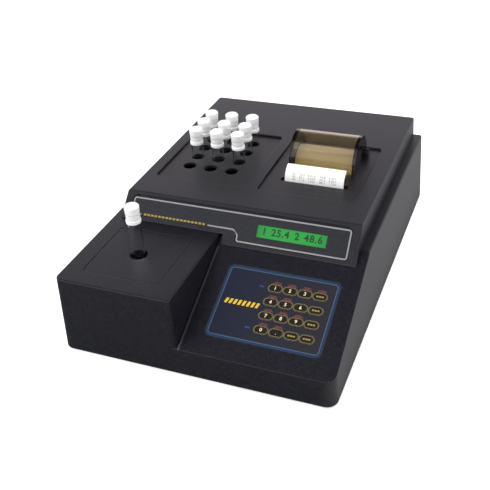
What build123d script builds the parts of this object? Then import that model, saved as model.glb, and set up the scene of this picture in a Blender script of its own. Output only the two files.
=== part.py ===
from build123d import *
import math
import os

# Benchtop semi-automatic biochemistry analyzer with a tilt-back top cover, a tube incubator,
# a photometer well and a strip printer.
# Millimetres. Origin on the bench under the middle of the case, +X to the operator's right,
# +Y to the back and +Z up.

os.makedirs("parts", exist_ok=True)

# Case
body_width = 252.0
body_depth = 357.0
body_height = 73.5
foot_gap = 2.0
case_draft = 2.5
case_wall = 3.0
front_corner = 10.0
rear_corner = 6.0
case_edge = 1.6

# Photometer tower and key deck
tower_width = 115.0
tower_corner = 6.0
deck_front_height = 25.6
deck_run = 119.0
deck_groove_width = 1.4
deck_groove_depth = 1.2

# Top cover
lid_rise = 20.2
lid_ledge = 8.4
lid_rear_ledge = 0.8
lid_crease = 127.3
fascia_angle = 46.65
lid_wall = 2.5
fascia_wall = 4.6
lid_seat_gap = 0.15
lid_corner = 5.0
lid_edge = 1.2
rim_bearing = 1.4

# Shallow trays set into the top cover
tray_width = 93.5
tray_length = 111.0
tray_front = 160.0
tray_depth = 1.9
tray_chamfer = 0.6
tray_floor = 2.6
tray_corner = 4.0
tray_clearance = 0.25
tray_ledge = 3.0
tray_ledge_thickness = 2.7
tray_rim = 2.4
incubator_tray_x = -54.7
printer_tray_x = 50.3

# Test tubes and plug caps
tube_diameter = 12.0
tube_wall = 1.0
tube_length = 75.0
cap_height = 15.0
cap_top_diameter = 13.2
cap_waist_diameter = 12.0
cap_skirt_diameter = 13.2
cap_skirt_rise = 0.9
cap_skirt_drop = 1.75
cap_skirt_clearance = 0.05
cap_dome = 0.5
cap_edge = 1.0
plug_length = 1.7
plug_clearance = 0.05

# Incubator wells: three columns and four rows, the front row empty
well_columns = 3
well_rows = 4
well_pitch_x = 22.45
well_pitch_y = 20.35
first_well_x = -78.2
first_well_y = 189.8
well_clearance = 0.4
collar_clearance = 0.6
tube_stand = 16.9
block_margin = 5.4
block_floor = 3.0
well_lead_in = 0.8
well_floor_taper = 1.0
tube_seat_gap = 0.2

# Photometer
photometer_x = -69.0
photometer_y = 57.2
photometer_stand = 35.6
cover_width = 72.0
cover_length = 71.5
cover_gap = 0.6
cover_plate = 1.8
cover_plug_step = 2.0
cover_plug_depth = 3.0
cover_corner = 5.0
cover_edge = 0.4
cover_hole = 16.0
cuvette_width = 34.0
cuvette_length = 32.0
cuvette_top_gap = 3.5
cuvette_height = 36.0
cuvette_clearance = 0.2
beam_height = 55.0
beam_bore = 6.0
wheel_diameter = 54.0
wheel_thickness = 5.0
wheel_hole = 9.0
wheel_holes = 8
wheel_ring = 19.0
wheel_shaft = 3.0
wheel_hub = 9.0
wheel_hub_rise = 2.0
wheel_shaft_length = 17.0
wheel_gap = 4.0
motor_diameter = 22.0
motor_length = 18.0
shaft_clearance = 0.05
lamp_size = 22.0

# Front overlay and display
overlay_thickness = 0.5
overlay_pocket = 1.2
overlay_half = 106.6
overlay_top = 4.8
overlay_left_bottom = 22.8
overlay_right_bottom = 33.2
overlay_step_x = 1.8
overlay_corner = 3.0
overlay_gap = 0.3
groove_width = 1.5
groove_depth = 2.4
display_x = 53.0
display_down = 19.6
display_width = 64.3
display_height = 11.2
display_margin_x = 4.0
display_margin_y = 5.0
display_frame = 5.0
display_board_width = 80.0
display_board_height = 28.0

# Keypad
keypad_x = 57.0
keypad_up = 54.7
keypad_width = 102.0
keypad_height = 72.4
keypad_corner = 5.0
keypad_pocket = 1.4
keypad_raise = 0.1
keypad_gap = 0.2
key_columns = 4
key_rows = 4
key_pitch_x = 13.25
key_pitch_y = 13.65
first_key_x = 52.9
first_key_up = 74.2
key_width = 11.9
key_height = 7.6
key_clearance = 0.2
key_raise = 0.35
key_travel = 0.5

# Printer
slot_width = 66.0
slot_length = 7.0
slot_y = 189.0
paper_width = 57.5
paper_thickness = 0.3
paper_x = 51.5
paper_front_gap = 1.1
paper_rise = 12.6
paper_curl_angle = 82.0
platen_diameter = 12.0
platen_axle = 4.0
platen_drop = 12.0
roll_diameter = 38.0
roll_core = 12.0
roll_y = 235.0
roll_drop = 5.7
roll_side_gap = 0.6
roll_well_gap = 1.2
frame_sheet = 2.0
frame_depth = 32.0

# Printer hood
hood_radius = 23.5
hood_wall = 2.0
hood_cheek = 2.5
hood_roll_gap = 1.5
hood_rise = 6.0
hood_floor_gap = 0.3
hood_pivot_back = 19.5
hood_pivot_rise = 4.5
hood_ear = 3.0
hood_ear_width = 8.0
hood_side_gap = 0.3
hood_pin = 3.0

# Rear hinge
hinge_x = 75.0
hinge_pin = 2.4
hinge_knuckle = 4.6
knuckle_length = 8.0
knuckle_gap = 0.3
knuckle_relief = 0.5
hinge_back = 0.9

# Base plate, feet, screws
plate_thickness = 1.5
plate_clearance = 0.6
plate_recess = 1.0
foot_diameter = 16.0
foot_inset = 22.0
boss_diameter = 8.0
boss_inset = 7.0
boss_web = 2.0
screw_diameter = 3.0
screw_head = 5.6
screw_head_height = 1.8
screw_length = 9.0

# Electrics
board_width = 110.0
board_length = 150.0
board_thickness = 1.6
board_standoff = 8.0
board_x = 52.0
board_y = -14.0
board_post = 6.0
board_post_inset = 5.0
chip_width = 10.0
chip_length = 20.0
chip_height = 3.5
chip_pitch_x = 22.0
chip_pitch_y = 30.0
chips_back = 15.0
capacitor_diameter = 10.0
capacitor_height = 16.0
capacitor_pitch = 20.0
capacitors_back = 23.0
connector_width = 80.0
connector_length = 8.0
core_width = 54.0
core_length = 30.0
core_height = 44.0
winding_length = 46.0
transformer_x = -75.0
transformer_inset = 50.5
transformer_foot = 9.0
inlet_x = -78.0
inlet_height = 28.0
inlet_width = 52.0
inlet_tall = 24.0
inlet_flange = 1.6
inlet_pocket = 1.0
inlet_depth = 16.0
socket_width = 23.0
socket_tall = 15.5
socket_offset = -10.5
rocker_offset = 14.0
rocker_width = 11.0
rocker_tall = 17.0
rocker_tilt = 12.0
vent_count = 9
vent_width = 3.0
vent_height = 24.0
vent_pitch = 8.0
vent_x = 52.0
vent_z = 40.0
side_line_height = 45.0
side_line_length = 26.0
side_line_depth = 0.5

# Places worked out from the sizes above
front_y = -body_depth / 2
rear_y = body_depth / 2
right_x = body_width / 2
left_x = -right_x
rim_z = foot_gap + body_height
draft_slope = math.tan(math.radians(case_draft))
tower_right = left_x + tower_width
deck_front_y = front_y + deck_front_height * draft_slope
deck_front_z = foot_gap + deck_front_height
deck_bend_y = front_y + deck_run
deck_slope = math.atan2(rim_z - deck_front_z, deck_bend_y - deck_front_y)
lid_top_z = rim_z + lid_rise
lid_half = right_x - body_height * draft_slope - lid_ledge
lid_rear_y = rear_y - body_height * draft_slope - lid_rear_ledge
crease_y = front_y + lid_crease
fascia_slope = math.radians(fascia_angle)
opening_half = lid_half - lid_wall - rim_bearing
display_low = display_down + display_height / 2 + display_margin_y + 1
display_front_y = crease_y - display_low * math.cos(fascia_slope) + fascia_wall * math.sin(fascia_slope)
tray_z = lid_top_z - tray_depth
tray_bottom_z = tray_z - tray_floor
tray_front_y = front_y + tray_front
hinge_y = lid_rear_y + hinge_back
transformer_y = rear_y - transformer_inset
plate_z = foot_gap + plate_recess
plate_top_z = plate_z + plate_thickness
reach = body_depth

deck_plane = Plane(
    origin=(0, deck_front_y, deck_front_z),
    x_dir=(1, 0, 0),
    z_dir=(0, -math.sin(deck_slope), math.cos(deck_slope)),
)
fascia_plane = Plane(
    origin=(0, crease_y, lid_top_z),
    x_dir=(1, 0, 0),
    z_dir=(0, -math.sin(fascia_slope), math.cos(fascia_slope)),
)
rear_wall_plane = Plane(
    origin=(0, rear_y - inlet_height * draft_slope, foot_gap + inlet_height),
    x_dir=(-1, 0, 0),
    z_dir=(0, math.cos(math.radians(case_draft)), math.sin(math.radians(case_draft))),
)


def save(shape, node):
    """Write one node's solids to its STEP file."""
    solids = shape.solids()
    whole = solids[0] if len(solids) == 1 else Compound(children=list(solids))
    whole.label = node
    export_step(whole, f"parts/{node}.step")


def side_profile(points, x_low, x_high):
    """A prism along X whose outline is given as (y, z) points."""
    outline = Plane.YZ * Polyline(*points, close=True)
    return Pos(x_low, 0, 0) * extrude(make_face(outline), amount=x_high - x_low, dir=(1, 0, 0))


def block(x_low, x_high, y_low, y_high, z_low, z_high):
    """A plain box between two corners."""
    middle = Pos((x_low + x_high) / 2, (y_low + y_high) / 2, (z_low + z_high) / 2)
    return middle * Box(x_high - x_low, y_high - y_low, z_high - z_low)


def rod(x, y, z, diameter, length, direction):
    """A round bar whose start is at a point."""
    return Plane((x, y, z), z_dir=direction) * Pos(0, 0, length / 2) * Cylinder(diameter / 2, length)


def rounded_block(x_low, x_high, y_low, y_high, z_low, z_high, radius):
    """A box with rounded upright edges."""
    width = x_high - x_low
    length = y_high - y_low
    face = Pos((x_low + x_high) / 2, (y_low + y_high) / 2, z_low) * RectangleRounded(width, length, radius)
    return extrude(face, amount=z_high - z_low)


def drafted_block(x_low, x_high, y_low, y_high, z_low, z_high, front_radius, rear_radius):
    """A moulded block whose four walls lean inwards by the case draft."""
    face = Pos((x_low + x_high) / 2, (y_low + y_high) / 2, z_low) * Rectangle(x_high - x_low, y_high - y_low)
    face = fillet(face.vertices().sort_by(Axis.Y)[:2], front_radius)
    face = fillet(face.vertices().sort_by(Axis.Y)[-2:], rear_radius)
    return extrude(face, amount=z_high - z_low, taper=case_draft)


def deck_height(y, sink):
    """Height of the key deck, or of a surface that lies below it by sink."""
    return deck_front_z + (y - deck_front_y) * math.tan(deck_slope) - sink / math.cos(deck_slope)


def tower_form(inset, grow):
    """Everything on the tower's side of its right wall, with that wall moved out by grow."""
    low = Vector(left_x - reach, front_y + inset)
    high = Vector(tower_right + grow, front_y + reach)
    outline = Pos((low.X + high.X) / 2, (low.Y + high.Y) / 2, foot_gap) * Rectangle(high.X - low.X, high.Y - low.Y)
    front_right = outline.vertices().sort_by(Axis.Y)[:2].sort_by(Axis.X)[-1]
    return extrude(fillet(front_right, tower_corner + grow), amount=body_height, taper=case_draft)


def over_deck(sink):
    """Everything above the key deck, or above a surface that lies below it by sink."""
    start_y = front_y - reach
    bend_y = deck_bend_y + (sink / math.cos(deck_slope) - sink) / math.tan(deck_slope)
    return side_profile(
        [
            (start_y, deck_height(start_y, sink)),
            (bend_y, rim_z - sink),
            (bend_y, rim_z + lid_rise),
            (start_y, rim_z + lid_rise),
        ],
        left_x - 1, right_x + 1,
    )


def case_form(inset):
    """The case outside for an inset of 0, and its hollow for an inset of one wall."""
    body = drafted_block(
        left_x + inset, right_x - inset, front_y + inset, rear_y - inset,
        foot_gap, rim_z - inset, front_corner - inset, rear_corner - inset,
    )
    return body - (over_deck(inset) - tower_form(inset, -inset))


def knuckle_spans(on_lid):
    """Start and end of each hinge knuckle along X, for the cover or for the case."""
    spans = []
    for side in (-1, 1):
        middle = side * hinge_x
        if on_lid:
            spans.append((middle - knuckle_length / 2, middle + knuckle_length / 2))
        else:
            inner = knuckle_length / 2 + knuckle_gap
            spans.append((middle - inner - knuckle_length, middle - inner))
            spans.append((middle + inner, middle + inner + knuckle_length))
    return spans


def foot_places():
    """Middles of the four feet."""
    x = right_x - foot_inset
    y = rear_y - foot_inset
    return [(-x, -y), (x, -y), (-x, y), (x, y)]


def boss_places():
    """Middles of the screw bosses and the height that each may reach."""
    x = right_x - case_wall - boss_inset
    front = front_y + case_wall + boss_inset
    rear = rear_y - case_wall - boss_inset
    low = deck_front_z - case_wall
    high = rim_z - 2 * case_wall
    return [(-x, front, high), (tower_right - 12, front, high), (x, front, low),
            (-x, 0, high), (x, 0, high), (-x, rear, high), (0, rear, high), (x, rear, high)]


def base_shell():
    shell = case_form(0)
    top_edges = shell.faces().sort_by(Axis.Z)[-1].edges()
    shell = fillet(top_edges, case_edge)
    # Groove between the tower's wall and the deck
    shell -= (over_deck(deck_groove_depth) - tower_form(0, 0)) & tower_form(0, deck_groove_width)
    shell -= case_form(case_wall)
    # Two stepped openings under the top cover, behind the deck and behind the tower
    tower_back = crease_y - lid_rise / math.tan(fascia_slope) + fascia_wall / math.sin(fascia_slope)
    opening_rear = lid_rear_y - lid_wall - 0.4
    opening_top = rim_z + 1
    opening_low = deck_height(display_front_y - 4, 2 * case_wall)
    shell -= block(-opening_half, opening_half, tower_back + 6, opening_rear, opening_low, opening_top)
    shell -= block(tower_right + 4, opening_half, display_front_y, opening_rear, opening_low, opening_top)
    # Ledge and window for the photometer cover
    cover_x = photometer_x
    cover_y = front_y + photometer_y
    half_x = cover_width / 2 + cover_gap
    half_y = cover_length / 2 + cover_gap
    shell -= rounded_block(
        cover_x - half_x, cover_x + half_x, cover_y - half_y, cover_y + half_y,
        rim_z - cover_plate - 0.1, rim_z + 1, cover_corner + cover_gap,
    )
    half_x -= cover_plug_step
    half_y -= cover_plug_step
    shell -= rounded_block(
        cover_x - half_x, cover_x + half_x, cover_y - half_y, cover_y + half_y,
        rim_z - 2 * case_wall, rim_z + 1, cover_corner + cover_gap - cover_plug_step,
    )
    # Pocket that takes the keypad
    pocket = deck_plane * Pos(keypad_x, keypad_up, -keypad_pocket) * extrude(
        RectangleRounded(keypad_width + 2 * keypad_gap, keypad_height + 2 * keypad_gap, keypad_corner),
        amount=keypad_pocket + 1,
    )
    shell -= pocket
    # Screw bosses
    for x, y, top in boss_places():
        post = rod(x, y, plate_top_z, boss_diameter, top - plate_top_z, (0, 0, 1))
        # A web ties each post to the wall beside it
        side = math.copysign(right_x, x) if abs(x) > hinge_x else x
        back = math.copysign(rear_y, y) if side == x else y
        post += block(
            min(x, side) - boss_web / 2, max(x, side) + boss_web / 2,
            min(y, back) - boss_web / 2, max(y, back) + boss_web / 2, plate_top_z, top,
        )
        shell += post & case_form(case_wall / 2)
        shell -= rod(x, y, plate_top_z, screw_diameter, screw_length + 1, (0, 0, 1))
    # Rear hinge knuckles, and notches for the cover's knuckles
    for start, end in knuckle_spans(False):
        shell += rod(start, hinge_y, rim_z, hinge_knuckle, end - start, (1, 0, 0))
    for start, end in knuckle_spans(True):
        relief = hinge_knuckle + 2 * knuckle_relief
        shell -= rod(start - knuckle_gap, hinge_y, rim_z, relief, end - start + 2 * knuckle_gap, (1, 0, 0))
    for side in (-1, 1):
        length = 3 * knuckle_length + 2 * knuckle_gap + 2
        shell -= rod(side * hinge_x - length / 2, hinge_y, rim_z, hinge_pin, length, (1, 0, 0))
    # Rear wall: the power entry's pocket and hole, and the cooling slots
    shell -= rear_wall_plane * Pos(-inlet_x, 0, -inlet_pocket) * extrude(
        Rectangle(inlet_width + 0.6, inlet_tall + 0.6), amount=5,
    )
    shell -= rear_wall_plane * Pos(-inlet_x, 0, -10) * extrude(
        Rectangle(inlet_width - 4, inlet_tall - 4), amount=12,
    )
    for index in range(vent_count):
        x = vent_x + (index - (vent_count - 1) / 2) * vent_pitch
        slot = Pos(x, rear_y, vent_z) * Rot(90, 0, 0) * extrude(
            SlotOverall(vent_height, vent_width, rotation=90), amount=8, both=True,
        )
        shell -= slot
    # Short moulded line near the rear of each side
    for side in (-1, 1):
        wall_x = side * (right_x - (side_line_height - foot_gap) * draft_slope)
        shell -= block(
            wall_x - side_line_depth, wall_x + side_line_depth,
            rear_y - side_line_length, rear_y - rear_corner,
            side_line_height - 0.4, side_line_height + 0.4,
        )
    return shell


def lid_form(side_inset, top_inset, fascia_inset, low_z):
    """The top cover's outside, or its hollow for a wall's insets."""
    start_z = rim_z - lid_rise
    half = lid_half + lid_rise * draft_slope - side_inset
    rear = lid_rear_y + lid_rise * draft_slope - side_inset
    body = drafted_block(
        -half, half, front_y, rear, start_z, lid_top_z - top_inset, lid_corner, lid_corner,
    )
    run = 1 / math.tan(fascia_slope)
    inner_crease_y = crease_y + fascia_inset / math.sin(fascia_slope) - top_inset * run
    low_y = inner_crease_y - (lid_top_z - top_inset - low_z) * run
    profile = side_profile(
        [
            (low_y, low_z),
            (inner_crease_y, lid_top_z - top_inset),
            (rear_y + 1, lid_top_z - top_inset),
            (rear_y + 1, low_z),
        ],
        -right_x, right_x,
    )
    return body & profile


def under_lid():
    """Everything that the cover has to stay above: the rim, the tower and the deck."""
    gap = lid_seat_gap
    start_y = front_y - 1
    below = side_profile(
        [
            (start_y, foot_gap - lid_rise),
            (rear_y + 5, foot_gap - lid_rise),
            (rear_y + 5, rim_z + gap),
            (deck_bend_y, rim_z + gap),
            (start_y, deck_height(start_y, -gap)),
        ],
        left_x - 5, right_x + 5,
    )
    tower = block(left_x - 5, tower_right + 1, start_y, rear_y + 5, foot_gap - lid_rise, rim_z + gap)
    return below + tower


def tray_outline(middle_x, z, grow):
    """The outline of one shallow tray, grown or shrunk all round."""
    outline = RectangleRounded(tray_width + 2 * grow, tray_length + 2 * grow, tray_corner + grow)
    return Pos(middle_x, tray_front_y + tray_length / 2, z) * outline


def tray(middle_x, z_low, z_high, grow):
    """A block with the outline of one shallow tray."""
    return extrude(tray_outline(middle_x, z_low, grow), amount=z_high - z_low)


def well_places():
    """Middle of each incubator well, the front row first."""
    places = []
    for row in range(well_rows):
        for column in range(well_columns):
            x = first_well_x + column * well_pitch_x
            places.append((x, front_y + first_well_y + row * well_pitch_y))
    return places


def overlay_outline(grow):
    """Outline of the front overlay in the fascia's own plane, lower on the right of the step."""
    half = overlay_half + grow
    step_x = overlay_step_x - grow
    top = -overlay_top + grow
    left_bottom = -overlay_left_bottom - grow
    right_bottom = -overlay_right_bottom - grow
    outline = make_face(
        Polyline(
            (-half, top), (half, top), (half, right_bottom), (step_x, right_bottom),
            (step_x, left_bottom), (-half, left_bottom), close=True,
        )
    )
    return fillet(outline.vertices(), overlay_corner)


hood_y = front_y + roll_y
hood_z = tray_z + hood_rise
pivot_y = hood_y + hood_pivot_back
pivot_z = tray_z + hood_pivot_rise
hood_width = paper_width + 2 * (hood_cheek + hood_roll_gap)
hood_left = paper_x - hood_width / 2
hood_right = paper_x + hood_width / 2
roll_z = tray_z - roll_drop
slot_mid_y = front_y + slot_y
paper_y = slot_mid_y - slot_length / 2 + paper_front_gap
platen_z = tray_z - platen_drop
platen_y = paper_y + paper_thickness + 0.1 + platen_diameter / 2


def hood_ears():
    """Two little ears on the printer tray that hold the hood's pins."""
    ears = None
    half = hood_ear_width / 2
    left_ear = hood_left - hood_side_gap - hood_ear
    for inner in (left_ear, hood_right + hood_side_gap):
        outer = inner + hood_ear
        ear = block(inner, outer, pivot_y - half, pivot_y + half, tray_z - 1, pivot_z)
        ear += rod(inner, pivot_y, pivot_z, hood_ear_width, hood_ear, (1, 0, 0))
        ear -= rod(inner - 1, pivot_y, pivot_z, hood_pin + 2 * shaft_clearance, outer - inner + 2, (1, 0, 0))
        ears = ear if ears is None else ears + ear
    return ears


def top_lid():
    outside = lid_form(0, 0, 0, deck_front_z)
    rims = outside.edges().filter_by(lambda edge: edge.center().Z > lid_top_z - 0.01)
    outside = fillet(rims, lid_edge)
    lid = outside - lid_form(lid_wall, lid_wall, fascia_wall, foot_gap)
    # Two openings for the trays, each with a skirt and a ledge that the tray rests on
    ledge_z = tray_bottom_z - tray_ledge_thickness
    for middle in (incubator_tray_x, printer_tray_x):
        lid += tray(middle, ledge_z, lid_top_z - lid_wall / 2, tray_rim)
    for middle in (incubator_tray_x, printer_tray_x):
        lid -= tray(middle, tray_bottom_z, lid_top_z + 1, 0)
        lid -= tray(middle, ledge_z - 1, lid_top_z + 1, -tray_ledge)
        # A bevel round the opening's upper edge
        lid -= extrude(tray_outline(middle, lid_top_z - tray_chamfer, 0), amount=2 * tray_chamfer, taper=-45)
    lid -= under_lid()
    # Pocket for the overlay, the shadow groove above it and the display's window
    lid -= fascia_plane * Pos(0, 0, -overlay_pocket) * extrude(overlay_outline(overlay_gap), amount=overlay_pocket + 1)
    lid -= fascia_plane * Pos(0, -overlay_top + groove_width / 2 + overlay_gap, -groove_depth) * Box(
        2 * overlay_half - 2 * overlay_corner, groove_width, 2 * groove_depth,
        align=(Align.CENTER, Align.CENTER, Align.MIN),
    )
    lid -= fascia_plane * Pos(display_x, -display_down, -fascia_wall - 1) * Box(
        display_width + 2, display_height + 2, 2 * fascia_wall + 2, align=(Align.CENTER, Align.CENTER, Align.MIN),
    )
    # Rear hinge knuckles, and notches for the case's knuckles
    for start, end in knuckle_spans(True):
        lid += rod(start, hinge_y, rim_z, hinge_knuckle, end - start, (1, 0, 0))
        lid += block(start, end, lid_rear_y - lid_wall, hinge_y, rim_z, rim_z + hinge_knuckle / 2 + 0.6)
        bore = hinge_pin + 2 * shaft_clearance
        lid -= rod(start - 1, hinge_y, rim_z, bore, end - start + 2, (1, 0, 0))
    for start, end in knuckle_spans(False):
        relief = hinge_knuckle + 2 * knuckle_relief
        lid -= rod(start - knuckle_gap, hinge_y, rim_z, relief, end - start + 2 * knuckle_gap, (1, 0, 0))
    return lid


def incubator_tray():
    """Floor of the left tray, with a collar hole over each well of the block."""
    plate = tray(incubator_tray_x, tray_bottom_z, tray_z, -tray_clearance)
    for x, y in well_places():
        plate -= rod(x, y, tray_bottom_z - 1, tube_diameter + 2 * collar_clearance, tray_floor + 2, (0, 0, 1))
    return plate


def printer_tray():
    """Floor of the right tray, with the paper slot, the roll's well and the hood's ears."""
    plate = tray(printer_tray_x, tray_bottom_z, tray_z, -tray_clearance)
    plate -= block(
        paper_x - slot_width / 2, paper_x + slot_width / 2,
        slot_mid_y - slot_length / 2, slot_mid_y + slot_length / 2, tray_bottom_z - 1, tray_z + 1,
    )
    half_y = roll_diameter / 2 + roll_well_gap
    half_x = paper_width / 2 + 2 * roll_side_gap
    plate -= block(
        paper_x - half_x, paper_x + half_x, hood_y - half_y, hood_y + half_y, tray_bottom_z - 1, tray_z + 1,
    )
    return plate + hood_ears()


def hinge_pins():
    length = 3 * knuckle_length + 2 * knuckle_gap
    return [rod(side * hinge_x - length / 2, hinge_y, rim_z, hinge_pin, length, (1, 0, 0)) for side in (-1, 1)]


def base_plate():
    edge = case_wall + plate_clearance
    plate = drafted_block(
        left_x + edge, right_x - edge, front_y + edge, rear_y - edge, plate_z, plate_top_z,
        front_corner - edge, rear_corner - case_wall,
    )
    for x, y, top in boss_places():
        plate -= rod(x, y, plate_z - 1, screw_diameter + 0.4, plate_thickness + 2, (0, 0, 1))
    return plate


def rubber_feet():
    feet = []
    for x, y in foot_places():
        foot = rod(x, y, 0, foot_diameter, plate_z, (0, 0, 1))
        feet.append(chamfer(foot.edges().sort_by(Axis.Z)[0], 0.6))
    return Compound(children=feet)


def base_screws():
    screws = []
    for x, y, top in boss_places():
        head = rod(x, y, plate_z - screw_head_height, screw_head, screw_head_height, (0, 0, 1))
        head = chamfer(head.edges().sort_by(Axis.Z)[0], screw_head_height / 3)
        screws.append(head + rod(x, y, plate_z, screw_diameter, screw_length, (0, 0, 1)))
    return screws


def photometer_cover():
    y = front_y + photometer_y
    half_x = cover_width / 2
    half_y = cover_length / 2
    plate = rounded_block(
        photometer_x - half_x, photometer_x + half_x, y - half_y, y + half_y,
        rim_z - cover_plate, rim_z, cover_corner,
    )
    plate = chamfer(plate.edges().group_by(Axis.Z)[-1], cover_edge)
    half_x -= cover_plug_step + cover_gap / 2
    half_y -= cover_plug_step + cover_gap / 2
    plug = rounded_block(
        photometer_x - half_x, photometer_x + half_x, y - half_y, y + half_y,
        rim_z - cover_plate - cover_plug_depth, rim_z - cover_plate, cover_corner - cover_plug_step,
    )
    hollow = rounded_block(
        photometer_x - half_x + 2, photometer_x + half_x - 2, y - half_y + 2, y + half_y - 2,
        rim_z - cover_plate - cover_plug_depth, rim_z - cover_plate, 1,
    )
    collar = rod(photometer_x, y, rim_z - cover_plate - cover_plug_depth, cover_hole + 4, cover_plug_depth, (0, 0, 1))
    cover = plate + (plug - hollow) + collar
    return cover - rod(photometer_x, y, rim_z - 10, cover_hole, 12, (0, 0, 1))


def test_tube(x, y, rim):
    """A glass tube with a round bottom, its rim at a height."""
    outer = tube_diameter / 2
    inner = outer - tube_wall
    low = rim - tube_length
    section = make_face(
        Polyline((inner, low + outer), (inner, rim), (outer, rim), (outer, low + outer))
        + ThreePointArc(
            (outer, low + outer),
            (outer * math.sin(math.pi / 4), low + outer - outer * math.cos(math.pi / 4)),
            (0, low),
        )
        + Line((0, low), (0, low + tube_wall))
        + ThreePointArc(
            (0, low + tube_wall),
            (inner * math.sin(math.pi / 4), low + outer - inner * math.cos(math.pi / 4)),
            (inner, low + outer),
        )
    )
    return Pos(x, y, 0) * revolve(Plane.XZ * section, Axis.Z)


def plug_cap(x, y, rim):
    """A white push-on cap: a tapered grip, a skirt round the tube's rim and a short plug inside it."""
    base = rim + cap_skirt_clearance
    high = base + cap_height
    waist = cap_waist_diameter / 2
    top = cap_top_diameter / 2
    skirt = cap_skirt_diameter / 2
    skirt_inside = tube_diameter / 2 + cap_skirt_clearance
    plug = tube_diameter / 2 - tube_wall - plug_clearance
    section = make_face(
        Polyline(
            (0, base - plug_length), (plug - 0.4, base - plug_length), (plug, base - plug_length + 0.6),
            (plug, base), (skirt_inside, base), (skirt_inside, base - cap_skirt_drop),
            (skirt, base - cap_skirt_drop), (skirt, base + cap_skirt_rise),
            (waist, base + cap_skirt_rise + skirt - waist), (top, high - cap_dome - cap_edge),
            (top - cap_edge, high - cap_dome), (0, high), close=True,
        )
    )
    return Pos(x, y, 0) * revolve(Plane.XZ * section, Axis.Z)


incubator_rim = tray_z + tube_stand
photometer_rim = rim_z + photometer_stand


def incubator_block():
    places = well_places()
    top = tray_bottom_z
    well_floor = incubator_rim - tube_length - tube_seat_gap
    edge = tube_diameter / 2 + well_clearance + block_margin
    body = rounded_block(
        places[0][0] - edge, places[-1][0] + edge, places[0][1] - edge, places[-1][1] + edge,
        well_floor - block_floor, top, 3,
    )
    radius = tube_diameter / 2 + well_clearance
    wall_low = well_floor + well_floor_taper
    for x, y in places:
        bore = rod(x, y, wall_low, 2 * radius, top - wall_low + 1, (0, 0, 1))
        lead_in = Pos(x, y, top - well_lead_in / 2) * Cone(radius, radius + well_lead_in, well_lead_in)
        taper = Pos(x, y, wall_low - well_floor_taper / 2) * Cone(radius - well_floor_taper, radius, well_floor_taper)
        body -= bore + lead_in + taper
    return body


def cuvette_block():
    y = front_y + photometer_y
    top = rim_z - cuvette_top_gap - cover_plate - cover_plug_depth + 2
    low = top - cuvette_height
    well_floor = photometer_rim - tube_length - tube_seat_gap
    half_x = cuvette_width / 2
    half_y = cuvette_length / 2
    body = rounded_block(
        photometer_x - half_x, photometer_x + half_x, y - half_y, y + half_y, low, top, 2,
    )
    # Pillar down to the base plate
    body += block(
        photometer_x - half_x + 5, photometer_x + half_x - 5, y - half_y + 4, y + half_y - 4, plate_top_z, low,
    )
    # Detector housing on the front
    body += rod(photometer_x, y - half_y + 1, beam_height, 14, 10, (0, -1, 0))
    body -= rod(photometer_x, y, well_floor, tube_diameter + 2 * cuvette_clearance, top - well_floor + 1, (0, 0, 1))
    body -= rod(photometer_x, y, beam_height, beam_bore, half_y + 2, (0, 1, 0))
    return body


wheel_x = photometer_x + wheel_ring * math.sin(math.pi / 4)
wheel_z = beam_height - wheel_ring * math.cos(math.pi / 4)
wheel_y = front_y + photometer_y + cuvette_length / 2 + wheel_gap
motor_y = wheel_y + wheel_thickness + 2
lamp_y = motor_y + motor_length + 2


def filter_wheel():
    wheel = rod(wheel_x, wheel_y, wheel_z, wheel_diameter, wheel_thickness, (0, 1, 0))
    for index in range(wheel_holes):
        angle = math.radians(135 + index * 360 / wheel_holes)
        x = wheel_x + wheel_ring * math.cos(angle)
        z = wheel_z + wheel_ring * math.sin(angle)
        wheel -= rod(x, wheel_y + 1, z, wheel_hole, wheel_thickness, (0, 1, 0))
        wheel -= rod(x, wheel_y - 1, z, wheel_hole - 2, wheel_thickness, (0, 1, 0))
    wheel += rod(wheel_x, wheel_y - wheel_hub_rise, wheel_z, wheel_hub, 2 * wheel_hub_rise, (0, 1, 0))
    return wheel + rod(wheel_x, wheel_y, wheel_z, wheel_shaft, wheel_shaft_length, (0, 1, 0))


def filter_motor():
    motor = rod(wheel_x, motor_y, wheel_z, motor_diameter, motor_length, (0, 1, 0))
    motor += rod(wheel_x, motor_y - 1, wheel_z, 8, 2, (0, 1, 0))
    # Bracket from the motor's face down to the base plate
    bracket = block(wheel_x - 9, wheel_x + 9, motor_y, motor_y + 2, plate_top_z, wheel_z)
    bracket += block(wheel_x - 9, wheel_x + 9, motor_y, motor_y + motor_length, plate_top_z, plate_top_z + 2)
    motor += bracket
    return motor - rod(wheel_x, motor_y - 2, wheel_z, wheel_shaft + 2 * shaft_clearance, 14, (0, 1, 0))


def lamp_house():
    half = lamp_size / 2
    low = beam_height - half
    body = block(photometer_x - half, photometer_x + half, lamp_y, lamp_y + lamp_size, low, low + lamp_size)
    # Cooling fins cut across the top
    for index in range(4):
        y = lamp_y + 3.5 + index * 5
        body -= block(photometer_x - half - 1, photometer_x + half + 1, y, y + 2, low + lamp_size - 6, low + lamp_size + 1)
    body += block(photometer_x - 6, photometer_x + 6, lamp_y + 4, lamp_y + lamp_size - 4, plate_top_z, low)
    # Lens tube towards the filter wheel
    return body - rod(photometer_x, lamp_y - 1, beam_height, 8, lamp_size / 2, (0, 1, 0))


def fascia_overlay():
    plate = extrude(overlay_outline(0), amount=overlay_thickness)
    plate -= Pos(display_x, -display_down, 0) * Box(display_width, display_height, 4 * overlay_thickness)
    return fascia_plane * Pos(0, 0, -overlay_pocket) * plate


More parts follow.
